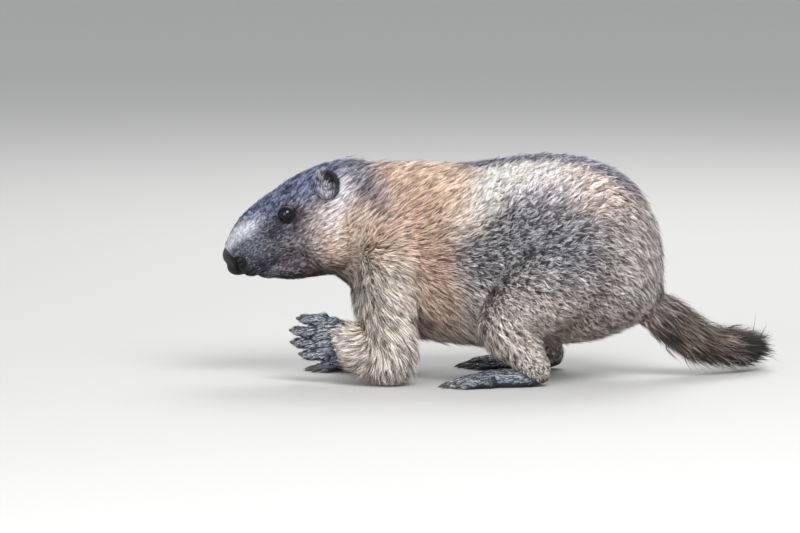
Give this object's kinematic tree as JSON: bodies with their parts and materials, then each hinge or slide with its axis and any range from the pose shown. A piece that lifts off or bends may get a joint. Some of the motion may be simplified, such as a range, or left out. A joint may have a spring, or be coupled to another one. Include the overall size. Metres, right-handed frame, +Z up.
{
  "type": "alpine marmot",
  "caption": "Life-size still model of an alpine marmot crouched low with its head down and its left forepaw raised to grip.",
  "frame": {"origin": "on the floor under the middle of the animal's box", "axes": "+Z up, -X towards the nose and +X towards the tail, the animal's left side faces -Y"},
  "size_m": [0.4658, 0.1948, 0.1848],
  "materials": {
    "fur_body": "dense coarse coat, peach tan at the shoulder and grizzled black and cream behind",
    "fur_head": "short slate grey fur with pale tips",
    "fur_tail": "long bushy hair, grey brown to a black tip",
    "paws": "dark skin under short grey hair, with horn claws",
    "bare_skin": "dark, finely grained, slightly moist",
    "eye": "wet and glossy, dark brown"
  },
  "bodies": {
    "root": {"head": "fur_head", "ear_left": "fur_head", "ear_right": "fur_head", "eye_left": "eye", "eye_right": "eye", "nose": "bare_skin", "neck": "fur_body", "torso": "fur_body", "tail": "fur_tail", "foreleg_left": "fur_body", "foreleg_right": "fur_body", "forepaw_left": "paws", "forepaw_right": "paws", "hindleg_left": "fur_body", "hindleg_right": "fur_body", "hindfoot_left": "paws", "hindfoot_right": "paws"}
  },
  "joints": []
}
